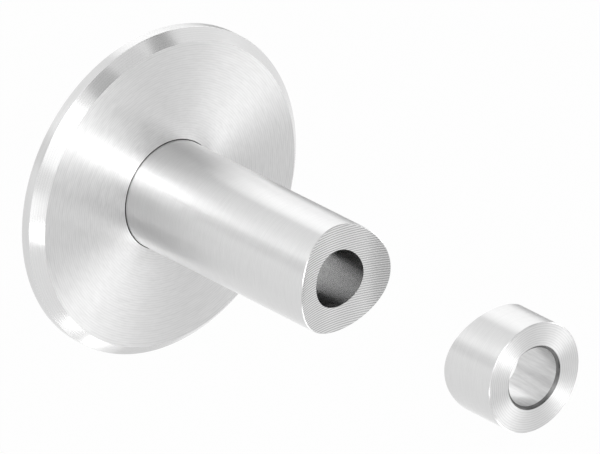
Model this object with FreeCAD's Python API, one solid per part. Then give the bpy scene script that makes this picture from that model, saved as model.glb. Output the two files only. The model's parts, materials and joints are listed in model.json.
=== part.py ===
import FreeCAD, Part
import math
import os

# Wall bracket for a round rail: a rosette on the wall, a stub that stands in it,
# and a loose collar on the rail's far side. One bolt goes through all three.
# Millimetres. The wall is the plane y = 0, the bracket stands out along -Y, and +Z is up.

# The rail that the bracket holds. It isn't part of the bracket, and runs along Z.
rail_diameter = 42.4
rail_distance = 70.4  # wall to the rail's axis
saddle_play = 0.1  # between the rail and each saddle, on the radius

# The rosette, a turned disc
rosette_diameter = 60.0
rosette_thickness = 4.0
rosette_chamfer = 2.0  # on the front edge, at 45 degrees
rosette_edge_break = 0.2  # on the back edge, at 45 degrees

# The stub, a length of round bar with a hole through it
stub_diameter = 20.0
stub_seat_depth = 2.0  # how far it stands in the rosette
stub_seat_clearance = 0.15  # round the stub in its seat, on the radius

# The collar, a short length of the same kind of bar
collar_diameter = 20.0
collar_length = 12.0  # from its horns to its front face
collar_mouth_chamfer = 0.5  # where the bolt goes in, at 45 degrees

# The bolt that goes through all three. It isn't part of the bracket.
bolt_diameter = 10.0
bolt_clearance = 0.3  # round the bolt, on the radius

# The sharp outer edges of the stub and the collar are taken off by this much.
bar_edge_break = 0.15

OUTWARD = FreeCAD.Vector(0, -1, 0)
UPWARD = FreeCAD.Vector(0, 0, 1)

bolt_hole_radius = bolt_diameter / 2 + bolt_clearance
saddle_radius = rail_diameter / 2 + saddle_play
seat_floor = rosette_thickness - stub_seat_depth


def bar(diameter, start, end):
    """A round bar on the bracket's axis, between two distances from the wall."""
    foot = FreeCAD.Vector(0, -start, 0)
    return Part.makeCylinder(diameter / 2, end - start, foot, OUTWARD)


def rail_space(reach):
    """The round space that the rail takes, long enough to cut a bar of twice this reach."""
    foot = FreeCAD.Vector(0, -rail_distance, -reach)
    return Part.makeCylinder(saddle_radius, 2 * reach, foot, UPWARD)


def horn_distance(diameter):
    """How far from the rail's axis a saddle ends on the side of a bar of this diameter."""
    return math.sqrt(saddle_radius**2 - (diameter / 2) ** 2)


def turned(profile):
    """A solid of revolution about the bracket's axis, from corners of radius and distance."""
    corners = [FreeCAD.Vector(radius, -distance, 0) for radius, distance in profile]
    outline = Part.makePolygon(corners + corners[:1])
    return Part.Face(outline).revolve(FreeCAD.Vector(0, 0, 0), OUTWARD, 360)


def outline_edges(solid, diameter, start, end):
    """The edges that run round a bar's outside, between two distances from the wall."""
    found = []
    for edge in solid.Edges:
        points = edge.discretize(5)
        distances = [-point.y for point in points]
        on_the_side = all(
            abs(math.hypot(point.x, point.z) - diameter / 2) < 1e-4 for point in points
        )
        runs_along = abs(points[0].x - points[2].x) + abs(points[0].z - points[2].z) < 1e-4
        if on_the_side and not runs_along and start < min(distances) and max(distances) < end:
            found.append(edge)
    return found


def rosette():
    """A disc with a chamfered front edge, a seat for the stub and a hole for the bolt."""
    radius = rosette_diameter / 2
    seat_radius = stub_diameter / 2 + stub_seat_clearance
    return turned(
        [
            (bolt_hole_radius, 0),
            (radius - rosette_edge_break, 0),
            (radius, rosette_edge_break),
            (radius, rosette_thickness - rosette_chamfer),
            (radius - rosette_chamfer, rosette_thickness),
            (seat_radius, rosette_thickness),
            (seat_radius, seat_floor),
            (bolt_hole_radius, seat_floor),
        ]
    )


def stub():
    """A bar from the floor of its seat to the rail, hollowed at its end to fit the rail."""
    solid = bar(stub_diameter, seat_floor, rail_distance).cut(rail_space(stub_diameter))
    edges = outline_edges(solid, stub_diameter, rosette_thickness, rail_distance)
    solid = solid.makeChamfer(bar_edge_break, edges)
    return solid.cut(bar(2 * bolt_hole_radius, 0, rail_distance))


def collar():
    """A short bar, hollowed at its back to fit the rail and open for the bolt in front."""
    front = rail_distance + horn_distance(collar_diameter) + collar_length
    solid = bar(collar_diameter, rail_distance, front).cut(rail_space(collar_diameter))
    edges = outline_edges(solid, collar_diameter, rail_distance, front + 1)
    solid = solid.makeChamfer(bar_edge_break, edges)
    solid = solid.cut(bar(2 * bolt_hole_radius, rail_distance, front))
    mouth = turned(
        [
            (0, front - collar_mouth_chamfer),
            (bolt_hole_radius, front - collar_mouth_chamfer),
            (bolt_hole_radius + collar_mouth_chamfer, front),
            (0, front),
        ]
    )
    return solid.cut(mouth)


os.makedirs("parts", exist_ok=True)
for name, make in (("rosette", rosette), ("stub", stub), ("collar", collar)):
    shape = make()
    shape.exportStep(f"parts/{name}.step")
    box = shape.BoundBox
    print(
        f"{name}: {len(shape.Solids)} solid, valid {shape.isValid()}, {shape.Volume:.1f} mm3,"
        f" y {box.YMin:.3f} to {box.YMax:.3f}, {box.XLength:.2f} wide"
    )
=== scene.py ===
# %% [markdown]
# # A steel wall bracket for a round rail
# This lesson dresses a imported CAD model of a wall bracket for a photograph. The bracket has three turned
# pieces on one axis: a rosette on the wall, a stub that stands in it, and a loose collar on the rail's far
# side. All three are bright stainless steel straight from the lathe, so the whole look is in how light runs
# along the tool marks. We build clean round meshes first, then one finish for each kind of cut surface, then
# the light.
#
# The CAD model comes in as a fixed frame. Everything that we make is in metres and in that frame, so nothing
# has to be moved into place. We keep the frame's box from the start.

# %% Load the frame
import json
import math
import bpy
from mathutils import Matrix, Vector


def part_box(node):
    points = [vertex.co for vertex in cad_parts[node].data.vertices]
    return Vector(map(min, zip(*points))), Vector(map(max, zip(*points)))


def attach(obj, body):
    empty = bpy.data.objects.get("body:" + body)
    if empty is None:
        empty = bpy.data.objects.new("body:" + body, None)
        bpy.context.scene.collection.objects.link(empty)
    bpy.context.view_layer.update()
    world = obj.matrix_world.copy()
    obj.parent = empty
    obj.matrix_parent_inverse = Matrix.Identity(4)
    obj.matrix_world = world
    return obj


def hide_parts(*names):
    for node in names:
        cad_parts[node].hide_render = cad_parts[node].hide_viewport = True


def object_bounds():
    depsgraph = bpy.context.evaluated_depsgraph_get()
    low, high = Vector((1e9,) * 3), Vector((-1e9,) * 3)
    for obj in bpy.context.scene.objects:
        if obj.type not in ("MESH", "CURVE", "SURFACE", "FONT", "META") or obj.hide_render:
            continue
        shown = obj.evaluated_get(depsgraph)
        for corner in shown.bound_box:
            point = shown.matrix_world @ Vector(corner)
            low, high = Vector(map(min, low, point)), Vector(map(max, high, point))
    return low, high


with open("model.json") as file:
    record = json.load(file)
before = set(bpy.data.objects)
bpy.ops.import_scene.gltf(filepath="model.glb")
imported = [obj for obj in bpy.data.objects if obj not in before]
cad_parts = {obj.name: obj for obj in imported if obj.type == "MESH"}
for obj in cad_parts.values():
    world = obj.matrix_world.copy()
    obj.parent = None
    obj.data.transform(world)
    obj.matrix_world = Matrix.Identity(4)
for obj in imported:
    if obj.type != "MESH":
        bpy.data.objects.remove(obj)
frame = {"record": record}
cad_low, cad_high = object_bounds()
print("the CAD box is", [round(side * 1000, 2) for side in cad_high - cad_low], "mm")

# %% [markdown]
# ## Sizes
# Most sizes can be read from the frame: the box of each CAD node gives its width and its place on the axis,
# and the record's mounts give the bolt hole and the rail's place. Only the small bevels have to be named here
# again. Reading a size is better than copying it, because the mesh then follows the CAD model when that
# changes.

# %% Read the sizes
MM = 0.001
mounts = {mount["name"]: mount for mount in frame["record"]["mounts"]}

rosette_low, rosette_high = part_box("rosette")
_, stub_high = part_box("stub")
collar_low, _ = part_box("collar")

rosette_radius = rosette_high.x
rosette_thickness = -rosette_low.y
bar_radius = stub_high.x
seat_floor = -stub_high.y
collar_front = -collar_low.y
bolt_hole_radius = mounts["bolt_hole"]["dims"]["r_mm"] * MM
saddle_radius = mounts["rail_seat"]["dims"]["r_mm"] * MM
rail_distance = -mounts["rail_seat"]["pos_m"][1]

rosette_chamfer = 2.0 * MM
rosette_edge_break = 0.2 * MM
seat_clearance = 0.15 * MM
bar_edge_break = 0.15 * MM
mouth_chamfer = 0.5 * MM
print("the rail's axis is", round(rail_distance / MM, 2), "mm from the wall")

# %% [markdown]
# ## Round loops
# A turned piece is a stack of round loops with a skin between each two. Blender has a Screw modifier for
# that, and a mesh cylinder with edits would also do. But two of our pieces end in a hollow that fits the
# rail, where the distance from the wall changes as we go round. So we write the loops ourselves: a loop has
# a radius, and a distance from the wall that may be a plain number or a function of x.

# %% The points of one loop
POINTS_ROUND = 256


def round_loop(radius, distance):
    """The points of one loop round the axis. Its distance from the wall may depend on x."""
    points = []
    for step in range(POINTS_ROUND):
        angle = 2 * math.pi * step / POINTS_ROUND
        x = radius * math.cos(angle)
        away = distance(x) if callable(distance) else distance
        points.append((x, -away, radius * math.sin(angle)))
    return points


print("a loop round the rosette has a point every",
      round(2 * math.pi * rosette_radius / POINTS_ROUND / MM, 2), "mm")

# %% [markdown]
# ## The skin over the loops
# The skin goes from loop to loop and closes on itself, from the hole to the outside and back, so each piece
# is one closed mesh. Each strip of it gets the name of its finish, which is also the name of a material. The
# material stays empty until a later cell gives it its nodes. A loop may be marked as crisp, and then the
# shading breaks there instead of flowing round the corner. Blender's Shade Smooth by Angle could find such
# corners by itself, but we know best which ones are sharp.

# %% A closed skin over a stack of loops
def add_finishes(mesh, finishes):
    """One material slot for each finish. A finish that has no material yet gets an empty one."""
    for finish in finishes:
        mesh.materials.append(bpy.data.materials.get(finish) or bpy.data.materials.new(finish))


def mark_crisp(mesh, crisp_rows):
    """Breaks the shading along the loops of these rows."""
    for edge in mesh.edges:
        first, second = (vertex // POINTS_ROUND for vertex in edge.vertices)
        edge.use_edge_sharp = first == second and first in crisp_rows


def skin(name, loops):
    """A closed mesh from (radius, distance, crisp, finish) loops. A finish covers the strip after it."""
    points = [point for radius, distance, _, _ in loops for point in round_loop(radius, distance)]
    finishes = sorted({finish for _, _, _, finish in loops})
    faces, finish_of_face = [], []
    for row, (_, _, _, finish) in enumerate(loops):
        here = row * POINTS_ROUND
        there = (row + 1) % len(loops) * POINTS_ROUND
        for step in range(POINTS_ROUND):
            after = (step + 1) % POINTS_ROUND
            faces.append((here + step, here + after, there + after, there + step))
            finish_of_face.append(finishes.index(finish))
    mesh = bpy.data.meshes.new(name)
    mesh.from_pydata(points, [], faces)
    add_finishes(mesh, finishes)
    mesh.polygons.foreach_set("material_index", finish_of_face)
    mesh.polygons.foreach_set("use_smooth", [True] * len(faces))
    mark_crisp(mesh, {row for row, (_, _, crisp, _) in enumerate(loops) if crisp})
    piece = bpy.data.objects.new(name, mesh)
    bpy.context.scene.collection.objects.link(piece)
    print(name, "has", len(faces), "faces and the finishes", finishes)
    return piece

# %% [markdown]
# ## Shading beside a bevel
# Where a broad face meets a narrow bevel, smooth shading makes the broad face look bent. More loops beside
# the corner would cure it, and so does Blender's Weighted Normal modifier, which lets the largest face lead.
# The modifier keeps the mesh light, and it leaves our crisp loops alone.

# %% Broad faces lead the shading
LARGEST_FACE_LEADS = 100


def settle_shading(piece):
    """Keeps broad faces flat beside narrow bevels."""
    weighted = piece.modifiers.new("broad_faces_lead", "WEIGHTED_NORMAL")
    weighted.keep_sharp = True
    weighted.weight = LARGEST_FACE_LEADS
    return piece

# %% [markdown]
# ## The rosette
# The rosette is a disc turned from plate. Its front edge has a broad 45 degree chamfer, and the stub stands
# in a shallow seat that is a little wider than the stub: the thin dark line round the stub's foot is that
# room, and the seat's walls are painted near-black as painted shade. Where the chamfer meets the face the
# corner is crisp. Where it meets the rim we give it a bevel of a tenth of a millimetre, because there a fine
# bright line shows. A Bevel modifier could make it, but with loops it only takes two distances instead of
# one.

# %% Turn the rosette
corner_bevel = 0.1 * MM
corner_run = corner_bevel * math.sqrt(0.5)
seat_radius = bar_radius + seat_clearance
chamfer_start = rosette_thickness - rosette_chamfer
chamfer_end_radius = rosette_radius - rosette_chamfer

rosette_loops = [
    (bolt_hole_radius, 0.0, True, "plain_steel"),
    (rosette_radius - rosette_edge_break, 0.0, True, "turned_side"),
    (rosette_radius, rosette_edge_break, True, "turned_side"),
    (rosette_radius, chamfer_start - corner_bevel, False, "turned_side"),
    (rosette_radius - corner_run, chamfer_start + corner_run, False, "turned_chamfer"),
    (chamfer_end_radius, rosette_thickness, True, "turned_face"),
    # The seat's two walls get a near-black grey: painted shade in the narrow gap.
    (seat_radius, rosette_thickness, True, "dull_seat"),
    (seat_radius, seat_floor, True, "dull_seat"),
    (bolt_hole_radius, seat_floor, True, "plain_steel"),
]
rosette = settle_shading(skin("turned_rosette", rosette_loops))

# %% [markdown]
# ## The stub
# The stub is a length of round bar. Its far end is cut to a hollow with the rail's radius, so that it sits
# snugly on the rail: the two points at its sides reach further out than its middle. The hollow could be cut
# with a Boolean modifier, but that leaves long thin triangles which spoil the shading. Here each loop of the
# hollow simply follows the rail's surface, so the grid of faces stays even. Below the rosette's face the bar
# is painted near-black like the seat, as painted shade, so that the gap round its foot stays dark.

# %% Turn the stub and hollow its end
HOLLOW_LOOPS = 10
edge_radius = bar_radius - bar_edge_break


def near_side(x):
    """Where the rail's near side lies at this x, as a distance from the wall."""
    return rail_distance - math.sqrt(saddle_radius ** 2 - x * x)


def near_side_rim(x):
    """A little short of the rail, where the bar's edge break starts."""
    return near_side(x) - bar_edge_break


def radii_between(first, last):
    """Evenly spaced loop radii, without the first and the last."""
    return [first + (last - first) * step / HOLLOW_LOOPS for step in range(1, HOLLOW_LOOPS)]


stub_loops = [
    (bolt_hole_radius, seat_floor, True, "plain_steel"),
    # The bar's foot inside the seat gets the same painted shade.
    (bar_radius, seat_floor, True, "dull_seat"),
    (bar_radius, rosette_thickness, False, "turned_side"),
    (bar_radius, near_side_rim, True, "broken_edge"),
    (edge_radius, near_side, True, "hollow"),
]
for radius in radii_between(edge_radius, bolt_hole_radius):
    stub_loops.append((radius, near_side, False, "hollow"))
stub_loops.append((bolt_hole_radius, near_side, True, "drilled_hole"))
stub = settle_shading(skin("drilled_stub", stub_loops))

# %% [markdown]
# ## The collar
# The collar is a short ring of the same bar. It stands on the rail's far side, so its back is hollowed to the
# same radius, and its flat front takes the head of the bolt. The mouth of its hole has a small chamfer. The
# same loops do for it, in the other order: from the hole over the hollow to the outside, and then over the
# front.

# %% Turn the collar
def far_side(x):
    """Where the rail's far side lies at this x, as a distance from the wall."""
    return rail_distance + math.sqrt(saddle_radius ** 2 - x * x)


def far_side_rim(x):
    """A little past the rail, where the collar's edge break starts."""
    return far_side(x) + bar_edge_break


collar_loops = [(bolt_hole_radius, far_side, True, "hollow")]
for radius in radii_between(bolt_hole_radius, edge_radius):
    collar_loops.append((radius, far_side, False, "hollow"))
collar_loops += [
    (edge_radius, far_side, True, "broken_edge"),
    (bar_radius, far_side_rim, True, "turned_side"),
    (bar_radius, collar_front - bar_edge_break, True, "broken_edge"),
    (edge_radius, collar_front, True, "faced_end"),
    (bolt_hole_radius + mouth_chamfer, collar_front, True, "mouth"),
    (bolt_hole_radius, collar_front - mouth_chamfer, True, "reamed_hole"),
]
collar = settle_shading(skin("drilled_collar", collar_loops))

# %% [markdown]
# ## Let the dressed pieces stand for the CAD nodes
# The frame's own solids have the same shapes, but the long thin triangles of their hollows would show in such
# bright steel. They could be smoothed, but then they would no longer be the frame. So each dressed piece
# replaces its solid and rides on the bracket's only body.

# %% Replace the three nodes
for piece, node in ((rosette, "rosette"), (stub, "stub"), (collar, "collar")):
    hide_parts(node)
    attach(piece, "root")
    print(piece.name, "stands for the node", node)

# %% [markdown]
# ## Steel from the lathe
# A lathe tool leaves grooves that run round the axis, far too fine to model. They spread a reflection across
# the groove and hardly along it, so a lamp becomes a long bright streak instead of a spot. Blender's
# Principled shader does the same with its Anisotropic value, our spread. The Tangent node tells it which way
# the grooves run: round the axis that is named. A turn of a quarter then makes the wide side of the
# reflection lie across the grooves.

# %% The shader of a cut surface
QUARTER_TURN = 0.25


def start_steel(finish, grey, roughness, spread, groove_axis):
    """Gives a finish its shader, with the grooves running round the named axis."""
    material = bpy.data.materials[finish]
    material.use_nodes = True
    tree = material.node_tree
    shader = tree.nodes["Principled BSDF"]
    shader.inputs["Base Color"].default_value = (grey, grey, grey, 1)
    shader.inputs["Metallic"].default_value = 1.0
    shader.inputs["Roughness"].default_value = roughness
    shader.inputs["Anisotropic"].default_value = spread
    shader.inputs["Anisotropic Rotation"].default_value = QUARTER_TURN
    tangent = tree.nodes.new("ShaderNodeTangent")
    tangent.direction_type = "RADIAL"
    tangent.axis = groove_axis
    tree.links.new(tangent.outputs["Tangent"], shader.inputs["Tangent"])
    print(finish, "has a grey of", grey, "and a spread of", spread)
    return shader

# %% [markdown]
# ## Coordinates that follow the grooves
# To draw single tool marks, a texture needs to know where it is across the grooves and along them. Unwrapping
# the pieces would give such coordinates, with a seam somewhere. Counting in the object's own space needs no
# seam: across the grooves we count pitches outward, along the axis or upward, and along them we go round a
# circle.

# %% Count the grooves
def maths(tree, operation, first, second):
    """One Math node. Each value is a number or another node's output."""
    node = tree.nodes.new("ShaderNodeMath")
    node.operation = operation
    for socket, value in zip(node.inputs, (first, second)):
        if isinstance(value, (int, float)):
            socket.default_value = value
        else:
            tree.links.new(value, socket)
    return node.outputs["Value"]


def place_on_piece(tree):
    """The x, y and z of a point in the piece's own space."""
    place = tree.nodes.new("ShaderNodeTexCoord").outputs["Object"]
    split = tree.nodes.new("ShaderNodeSeparateXYZ")
    tree.links.new(place, split.inputs["Vector"])
    return [split.outputs[axis] for axis in "XYZ"]


def cut_coordinates(tree, across, pitch, mark_length):
    """The count of pitches across the grooves, and a vector that is stretched along them."""
    x, y, z = place_on_piece(tree)
    if across == "height":
        count = maths(tree, "DIVIDE", z, pitch)
        along = [maths(tree, "DIVIDE", part, mark_length) for part in (x, y)]
    else:
        x_squared = maths(tree, "MULTIPLY", x, x)
        z_squared = maths(tree, "MULTIPLY", z, z)
        radius = maths(tree, "SQRT", maths(tree, "ADD", x_squared, z_squared), 0)
        count = maths(tree, "DIVIDE", radius if across == "radius" else y, pitch)
        round_axis = [maths(tree, "DIVIDE", part, radius) for part in (x, z)]
        along = [maths(tree, "MULTIPLY", part, bar_radius / mark_length) for part in round_axis]
    vector = tree.nodes.new("ShaderNodeCombineXYZ")
    for part, socket in zip((along[0], count, along[1]), vector.inputs):
        tree.links.new(part, socket)
    return count, vector.outputs["Vector"]

# %% [markdown]
# ## Tool marks
# The tool moves on by the same feed at each turn, so its grooves repeat like a thread. Chips and wear add
# loose scratches between them. We make the first with a sine wave and the second with a noise that is
# stretched along the groove. An image of brushed steel could do it too, but its marks would run straight,
# and here they have to run round.

# %% Waves and scratches
SCRATCH_DETAIL = 2.0
MIDDLE_HEIGHT = 0.5
WAVE_HEIGHT = 0.3
WANDER = 3.0
EVENNESS_WITHOUT_WANDER = 1.15


def scratch_height(tree, vector):
    """Loose scratches, as a noise round one half."""
    noise = tree.nodes.new("ShaderNodeTexNoise")
    noise.inputs["Scale"].default_value = 1.0
    noise.inputs["Detail"].default_value = SCRATCH_DETAIL
    tree.links.new(vector, noise.inputs["Vector"])
    return noise.outputs["Fac"]


def groove_height(tree, count, scratch, evenness):
    """A thread of grooves, as a wave round one half. The scratches make it wander a little."""
    turns = maths(tree, "MULTIPLY", count, 2 * math.pi)
    wander = maths(tree, "MULTIPLY", scratch, WANDER * (EVENNESS_WITHOUT_WANDER - evenness))
    wave = maths(tree, "SINE", maths(tree, "ADD", turns, wander), 0)
    return maths(tree, "ADD", maths(tree, "MULTIPLY", wave, WAVE_HEIGHT), MIDDLE_HEIGHT)

# %% [markdown]
# ## Marks on a finish
# The last helper mixes waves and scratches, with evenness as the share of the waves, and uses the result
# three ways. The tint is how much the grey changes from groove to land, and the roughness gets its own low
# and high value. The depth of the bump is given in metres, so that it stays at the scale of a real cut: a
# few thousandths of a millimetre. Modelling the grooves would take millions of faces for the same look.

# %% Put the marks on a finish
LOW_MARK, HIGH_MARK = 0.25, 0.75


def between(tree, height, low, high):
    """Maps the middle half of a mark's height to the range from low to high."""
    node = tree.nodes.new("ShaderNodeMapRange")
    node.inputs["From Min"].default_value = LOW_MARK
    node.inputs["From Max"].default_value = HIGH_MARK
    node.inputs["To Min"].default_value = low
    node.inputs["To Max"].default_value = high
    tree.links.new(height, node.inputs["Value"])
    return node.outputs["Result"]


def cut_marks(finish, across, pitch, mark_length, evenness, tint, roughness, depth):
    """Adds tool marks, from loose scratches at an evenness of 0 to a regular thread at 1."""
    tree = bpy.data.materials[finish].node_tree
    shader = tree.nodes["Principled BSDF"]
    grey = shader.inputs["Base Color"].default_value[0]
    count, vector = cut_coordinates(tree, across, pitch, mark_length)
    scratch = scratch_height(tree, vector)
    groove = groove_height(tree, count, scratch, evenness)
    height = maths(tree, "ADD", maths(tree, "MULTIPLY", groove, evenness),
                   maths(tree, "MULTIPLY", scratch, 1 - evenness))
    shade = tree.nodes.new("ShaderNodeCombineColor")
    level = between(tree, height, grey * (1 - tint), grey * (1 + tint))
    for socket in shade.inputs:
        tree.links.new(level, socket)
    tree.links.new(shade.outputs["Color"], shader.inputs["Base Color"])
    tree.links.new(between(tree, height, *roughness), shader.inputs["Roughness"])
    bump = tree.nodes.new("ShaderNodeBump")
    bump.inputs["Strength"].default_value = 1.0
    bump.inputs["Distance"].default_value = depth
    tree.links.new(height, bump.inputs["Height"])
    tree.links.new(bump.outputs["Normal"], shader.inputs["Normal"])
    print(finish, "has marks every", round(pitch / MM, 2), "mm")

# %% [markdown]
# ## Turned faces
# The same steel looks different on each surface, because each was cut in another way. On the rosette's face
# and the collar's end the tool went inward, so their rings are 0.43 mm apart, and the rings on the collar's
# end are the clearest. Both need a high roughness with a strong spread: that draws the bright fans across the
# discs. Painting the fans would be easier, but they would stay put when the bracket turns.

# %% The rosette's face and the collar's end
STEEL_GREY = 0.72

start_steel("turned_face", grey=0.69, roughness=0.45, spread=0.9, groove_axis="Y")
cut_marks("turned_face", across="radius", pitch=0.43 * MM, mark_length=1.0 * MM, evenness=0.35,
          tint=0.10, roughness=(0.40, 0.50), depth=0.002 * MM)
start_steel("faced_end", grey=STEEL_GREY, roughness=0.45, spread=0.9, groove_axis="Y")
cut_marks("faced_end", across="radius", pitch=0.43 * MM, mark_length=2.0 * MM, evenness=0.7,
          tint=0.10, roughness=(0.45, 0.55), depth=0.0025 * MM)

# %% [markdown]
# ## Sides and chamfer
# The sides were turned with a finer tool, and the chamfer with the finest, so the chamfer mirrors the room
# most sharply of all. One finish for both would be simpler, but the chamfer's crisp light and dark bands
# would be lost, and they are what one sees first in the photograph.

# %% The turned sides and the chamfer
start_steel("turned_side", grey=STEEL_GREY, roughness=0.30, spread=0.85, groove_axis="Y")
cut_marks("turned_side", across="axis", pitch=0.40 * MM, mark_length=3.0 * MM, evenness=0.3,
          tint=0.04, roughness=(0.28, 0.32), depth=0.001 * MM)
start_steel("turned_chamfer", grey=0.70, roughness=0.16, spread=0.6, groove_axis="Y")
cut_marks("turned_chamfer", across="radius", pitch=0.30 * MM, mark_length=6.0 * MM, evenness=0.6,
          tint=0.03, roughness=(0.15, 0.17), depth=0.0003 * MM)

# %% [markdown]
# ## Broken edges and the back
# A broken edge is the narrow flat that a tool leaves where it takes a sharp corner off, and on the saddles it
# shows as a fine bright line. The rosette's back and its hole are hidden on the wall, so they get a plain
# turned finish that is a little duller than the front.

# %% The broken edges and the hidden back
start_steel("broken_edge", grey=0.64, roughness=0.30, spread=0.5, groove_axis="Y")
cut_marks("broken_edge", across="axis", pitch=0.20 * MM, mark_length=2.0 * MM, evenness=0.2,
          tint=0.03, roughness=(0.28, 0.32), depth=0.001 * MM)
start_steel("plain_steel", grey=STEEL_GREY, roughness=0.40, spread=0.5, groove_axis="Y")
cut_marks("plain_steel", across="radius", pitch=0.30 * MM, mark_length=2.0 * MM, evenness=0.2,
          tint=0.03, roughness=(0.38, 0.42), depth=0.001 * MM)

# %% [markdown]
# ## The hollows
# The two hollows were milled to the rail's radius by a round cutter that stood upright. Its marks are level
# arcs, one above the other, 0.44 mm apart and very even. So the grooves run round the upright axis here, and
# the waves are counted upward.

# %% The milled hollows
start_steel("hollow", grey=0.58, roughness=0.26, spread=0.2, groove_axis="Z")
cut_marks("hollow", across="height", pitch=0.438 * MM, mark_length=3.0 * MM, evenness=0.95,
          tint=0.26, roughness=(0.24, 0.28), depth=0.001 * MM)

# %% [markdown]
# ## The long drilled hole
# Light that grazes the wall of a long hole is thrown on many times and loses a little each time. So the hole
# is almost black where we look along its wall, and grey where we look at it squarely. A darker grey would
# make all of it dull. The shader's plain GGX distribution does it right: it keeps that loss, which the usual
# Multiscatter GGX puts back, and a fairly low roughness lets the light graze on.

# %% The stub's hole
drilled = start_steel("drilled_hole", grey=0.86, roughness=0.22, spread=0.0, groove_axis="Y")
drilled.distribution = "GGX"
cut_marks("drilled_hole", across="axis", pitch=0.60 * MM, mark_length=1.5 * MM, evenness=0.0,
          tint=0.05, roughness=(0.20, 0.23), depth=0.0003 * MM)

# %% [markdown]
# ## The short hole, its mouth and the seat
# The collar's hole is short and open at both ends, so it is bright inside, with loose streaks along it: a
# pitch of 4 mm against a length of 0.9 mm turns the marks lengthwise. The chamfer at its mouth is painted
# nearly black as painted shade and dark reflection, a little lighter here and there. The seat round the
# stub's foot sees hardly any light, and it is painted near-black as painted shade. The dark ones could be
# left to the shadows, but the room is so white that they would come out pale.

# %% The collar's hole, its mouth and the seat
start_steel("reamed_hole", grey=0.70, roughness=0.35, spread=0.5, groove_axis="Y")
cut_marks("reamed_hole", across="axis", pitch=4.0 * MM, mark_length=0.9 * MM, evenness=0.0,
          tint=0.14, roughness=(0.30, 0.40), depth=0.004 * MM)
# The mouth's nearly black grey is painted shade and dark reflection on the chamfer.
start_steel("mouth", grey=0.13, roughness=0.50, spread=0.3, groove_axis="Y")
cut_marks("mouth", across="axis", pitch=0.60 * MM, mark_length=5.0 * MM, evenness=0.0,
          tint=0.60, roughness=(0.45, 0.55), depth=0.001 * MM)
# The seat's near-black grey is painted shade in the narrow gap round the stub's foot.
start_steel("dull_seat", grey=0.06, roughness=0.60, spread=0.2, groove_axis="Y")
cut_marks("dull_seat", across="axis", pitch=0.20 * MM, mark_length=2.0 * MM, evenness=0.0,
          tint=0.10, roughness=(0.55, 0.65), depth=0.001 * MM)

# %% [markdown]
# ## The white room
# The bracket hangs in the air in a white room. A backdrop could make it, but a plain white world has no
# corners that the steel would mirror. The camera and the steel see it at full white. Other rays see it at
# half the strength, which keeps the floor from glowing. Light Path says which kind of ray is asking.

# %% The world
ROOM_FOR_OTHERS = 0.5


def seen_directly(tree):
    """1 for the rays of the camera, of reflections and of glass, and 0 for all others."""
    path = tree.nodes.new("ShaderNodeLightPath")
    seen = maths(tree, "MAXIMUM", path.outputs["Is Camera Ray"], path.outputs["Is Glossy Ray"])
    return maths(tree, "MAXIMUM", seen, path.outputs["Is Transmission Ray"])


world = bpy.data.worlds.new("white_room")
bpy.context.scene.world = world
world.use_nodes = True
room = world.node_tree
background = room.nodes["Background"]
background.inputs["Color"].default_value = (1, 1, 1, 1)
extra = maths(room, "MULTIPLY", seen_directly(room), 1 - ROOM_FOR_OTHERS)
room.links.new(maths(room, "ADD", extra, ROOM_FOR_OTHERS), background.inputs["Strength"])
print("the room is white, and scattered light sees", ROOM_FOR_OTHERS, "of it")

# %% [markdown]
# ## The floor
# The floor is a metre below, so only a faint shadow reaches it. Plain white paint would show a line where the
# floor ends and the room begins. So we mix matt paint with a plain white glow for the rays that look straight
# at it: the floor joins the room without a line and still keeps a shadow.

# %% The floor
FLOOR_DROP = 1.0
FLOOR_HALF = 12.0

left, right = -FLOOR_HALF, FLOOR_HALF
corners = [(left, left, -FLOOR_DROP), (right, left, -FLOOR_DROP),
           (right, right, -FLOOR_DROP), (left, right, -FLOOR_DROP)]
floor_mesh = bpy.data.meshes.new("studio_floor")
floor_mesh.from_pydata(corners, [], [(0, 1, 2, 3)])
floor = bpy.data.objects.new("studio_floor", floor_mesh)
bpy.context.scene.collection.objects.link(floor)
print("the floor is", FLOOR_DROP, "m below the bracket's axis")

# %% [markdown]
# ## The floor's paint
# The paint is two shaders and a Mix Shader: the factor is the share of the glow, and it is nothing for rays
# of scattered light, which see the matt paint alone. In a simpler room one white shader would do.

# %% Paint the floor
PAINT_GREY = 0.8
PAINT_ROUGHNESS = 0.8
GLOW_SHARE = 0.98

paint = bpy.data.materials.new("floor_paint")
paint.use_nodes = True
paint_tree = paint.node_tree
matt_paint = paint_tree.nodes["Principled BSDF"]
matt_paint.inputs["Base Color"].default_value = (PAINT_GREY, PAINT_GREY, PAINT_GREY, 1)
matt_paint.inputs["Roughness"].default_value = PAINT_ROUGHNESS
glow = paint_tree.nodes.new("ShaderNodeEmission")
mix = paint_tree.nodes.new("ShaderNodeMixShader")
share = maths(paint_tree, "MULTIPLY", seen_directly(paint_tree), GLOW_SHARE)
paint_tree.links.new(share, mix.inputs["Fac"])
paint_tree.links.new(matt_paint.outputs["BSDF"], mix.inputs[1])
paint_tree.links.new(glow.outputs["Emission"], mix.inputs[2])
paint_tree.links.new(mix.outputs["Shader"], paint_tree.nodes["Material Output"].inputs["Surface"])
floor_mesh.materials.append(paint)
print("the floor's paint glows at", GLOW_SHARE, "where it is seen directly")

# %% [markdown]
# ## Where lamps and cards stand
# Steel shows what stands round it, so lamps and cards are placed for their reflections. All stand about a
# metre away, are aimed at the bracket and are hidden from the camera. Their place could be written as x, y
# and z, but a direction is easier to think in: the turn from the wall's inward side, and the height above
# level, both in degrees. The camera itself is at a turn of -140 and a height of 25.

# %% Stand a thing round the bracket
STAND_DISTANCE = 0.95
bracket_centre = (cad_low + cad_high) / 2


def direction(turn, height):
    """A unit vector from the two angles, given in degrees."""
    turn = math.radians(turn)
    height = math.radians(height)
    level = math.cos(height)
    return Vector((math.sin(turn) * level, math.cos(turn) * level, math.sin(height)))


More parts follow.
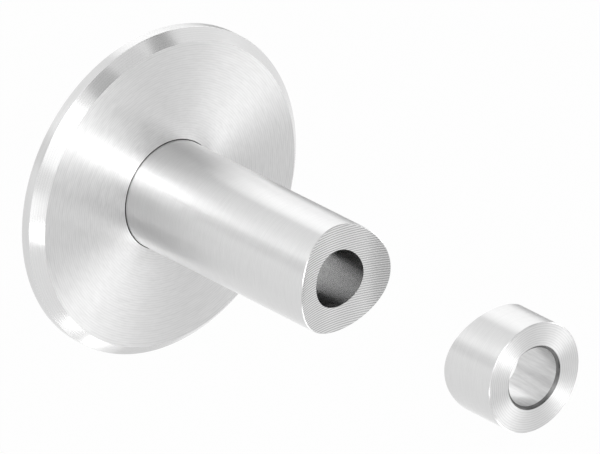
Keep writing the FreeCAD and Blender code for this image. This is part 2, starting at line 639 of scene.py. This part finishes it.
def disc_radius(width):
    """The radius of a disc that is this many degrees wide, seen from the bracket."""
    return STAND_DISTANCE * math.tan(math.radians(width / 2))


def stand(thing, turn, height):
    """Puts a thing in its place and aims it at the bracket. The camera doesn't see it."""
    bpy.context.scene.collection.objects.link(thing)
    way = direction(turn, height)
    thing.location = bracket_centre + way * STAND_DISTANCE
    thing.rotation_euler = way.to_track_quat("Z", "Y").to_euler()
    thing.visible_camera = False


print("the lamps are aimed at", [round(part / MM, 1) for part in bracket_centre], "mm")

# %% [markdown]
# ## Soft lamps
# Each bright streak on the bracket is one soft disc lamp. Those in front draw the fan on the rosette's face,
# and again, by way of that face, the white band at the stub's foot. The low ones light the lower half of the
# chamfer, and those on the right and behind light the sides and the rim. One huge lamp would be simpler, but
# it would wash out every dark band between the streaks.

# %% Disc lamps
def disc_lamp(name, turn, height, width, brightness):
    """A disc lamp. Width is its angle in degrees, and a brightness of 1 is the room's white."""
    lamp = bpy.data.lights.new(name, "AREA")
    lamp.shape = "DISK"
    lamp.size = 2 * disc_radius(width)
    lamp.energy = brightness * math.pi * lamp.size ** 2
    stand(bpy.data.objects.new(name, lamp), turn, height)
    print(name, "is", round(lamp.size, 2), "m wide and has", round(lamp.energy, 1), "W")


disc_lamp("front_right", turn=-160, height=13, width=21, brightness=3.0)
disc_lamp("front_right_wide", turn=-170, height=20, width=30, brightness=1.7)
disc_lamp("front_right_far", turn=172, height=6, width=21, brightness=0.25)
disc_lamp("front_left_high", turn=-125, height=42, width=24, brightness=2.8)
disc_lamp("beside_camera", turn=-147, height=24, width=40, brightness=0.32)
disc_lamp("left_high", turn=-110, height=40, width=20, brightness=2.6)
disc_lamp("left_side", turn=-88, height=47, width=24, brightness=0.25)
disc_lamp("left_low", turn=-115, height=-8, width=24, brightness=0.42)
disc_lamp("front_low_left", turn=-131, height=-23, width=12, brightness=2.6)
disc_lamp("front_low_right", turn=169, height=-49, width=21, brightness=2.4)
disc_lamp("below", turn=-178, height=-74, width=21, brightness=2.2)
disc_lamp("below_right", turn=100, height=-76, width=20, brightness=0.82)
disc_lamp("right_low", turn=134, height=-10, width=24, brightness=0.28)
disc_lamp("right_side", turn=107, height=10, width=21, brightness=2.2)
disc_lamp("behind_right", turn=60, height=30, width=30, brightness=0.53)
disc_lamp("behind_high", turn=30, height=38, width=28, brightness=0.54)

# %% [markdown]
# ## Grey and black cards
# In an all-white room bright steel has no dark side. A studio hangs up black and grey cards, and each dark
# band on the bracket is one of them. Making the room darker would take the white out of the whole picture
# instead. A card has almost no colour of its own, and glows just as much as its grey needs, so its grey
# doesn't hang on how the lamps light it.

# %% Disc cards
CARD_CORNERS = 48
CARD_BLACK = 0.02
CARD_ROUGHNESS = 0.9


def card_stock(name, white):
    """A matt black material that glows a little, up to the room's white at 1."""
    material = bpy.data.materials.new(name)
    material.use_nodes = True
    matt = material.node_tree.nodes["Principled BSDF"]
    matt.inputs["Base Color"].default_value = (CARD_BLACK, CARD_BLACK, CARD_BLACK, 1)
    matt.inputs["Roughness"].default_value = CARD_ROUGHNESS
    matt.inputs["Emission Color"].default_value = (1, 1, 1, 1)
    matt.inputs["Emission Strength"].default_value = white
    return material


def disc_card(name, turn, height, width, white):
    """A flat disc of card. Width is its angle in degrees, and white is how bright it looks."""
    radius = disc_radius(width)
    angles = [2 * math.pi * step / CARD_CORNERS for step in range(CARD_CORNERS)]
    points = [(radius * math.cos(angle), radius * math.sin(angle), 0) for angle in angles]
    mesh = bpy.data.meshes.new(name)
    mesh.from_pydata(points, [], [tuple(range(CARD_CORNERS))])
    mesh.materials.append(card_stock(name, white))
    card = bpy.data.objects.new(name, mesh)
    stand(card, turn, height)
    print(name, "is", round(2 * radius, 2), "m wide")


disc_card("card_over_front", turn=-173, height=49, width=20, white=0.50)
disc_card("card_front_high", turn=160, height=52, width=22, white=0.80)
disc_card("card_right_high", turn=130, height=45, width=18, white=0.52)
disc_card("card_left_back", turn=-50, height=20, width=20, white=0.60)
disc_card("card_right_top", turn=100, height=60, width=26, white=0.0)
disc_card("card_back_right", turn=45, height=-6, width=20, white=0.08)
disc_card("card_overhead", turn=20, height=70, width=30, white=0.82)
disc_card("card_front_low", turn=-170, height=-26, width=26, white=0.60)
disc_card("card_right_below", turn=58, height=-52, width=26, white=0.78)

# %% [markdown]
# ## The camera
# The bracket is seen from the front left and a little above. Lines that are parallel on the bracket stay
# parallel in the photograph, so it was taken from far away through a long lens. An orthographic camera would
# do it exactly, but from some other sides the bracket is larger than its frame. We stand three and a half
# metres away instead, and the lens follows from how many pixels a millimetre takes. The place is given by two
# angles and by the point in the middle of the picture, in steps to the right, to the top and to the camera.

# %% The camera
TURN = math.radians(-39.809)
LIFT = math.radians(24.737)
CAMERA_DISTANCE = 3.5
PIXELS_PER_MM = 5.838
FRAME_WIDTH = 600
SENSOR_WIDTH = 36.0
NEAREST, FARTHEST = 0.1, 20.0
STEPS_RIGHT, STEPS_TOP, STEPS_BACK = 25.02 * MM, -6.934 * MM, 40.0 * MM

level = math.cos(LIFT)
to_camera = Vector((math.sin(TURN) * level, -math.cos(TURN) * level, math.sin(LIFT)))
to_right = Vector((math.cos(TURN), math.sin(TURN), 0.0))
to_top = to_camera.cross(to_right)
middle = STEPS_RIGHT * to_right + STEPS_TOP * to_top + STEPS_BACK * to_camera

camera = bpy.data.objects.new("camera", bpy.data.cameras.new("camera"))
bpy.context.scene.collection.objects.link(camera)
camera.location = middle + to_camera * CAMERA_DISTANCE
camera.rotation_euler = to_camera.to_track_quat("Z", "Y").to_euler()
camera.data.sensor_width = SENSOR_WIDTH
camera.data.lens = PIXELS_PER_MM * CAMERA_DISTANCE / MM * SENSOR_WIDTH / FRAME_WIDTH
camera.data.clip_start = NEAREST
camera.data.clip_end = FARTHEST
camera.data.dof.use_dof = False
bpy.context.scene.camera = camera
print("the lens is", round(camera.data.lens), "mm long")

# %% [markdown]
# ## Plain colours
# The Standard view shows a colour as it is written, where the usual one would put a film look on top.

# %% Plain colours
bpy.context.scene.view_settings.view_transform = "Standard"
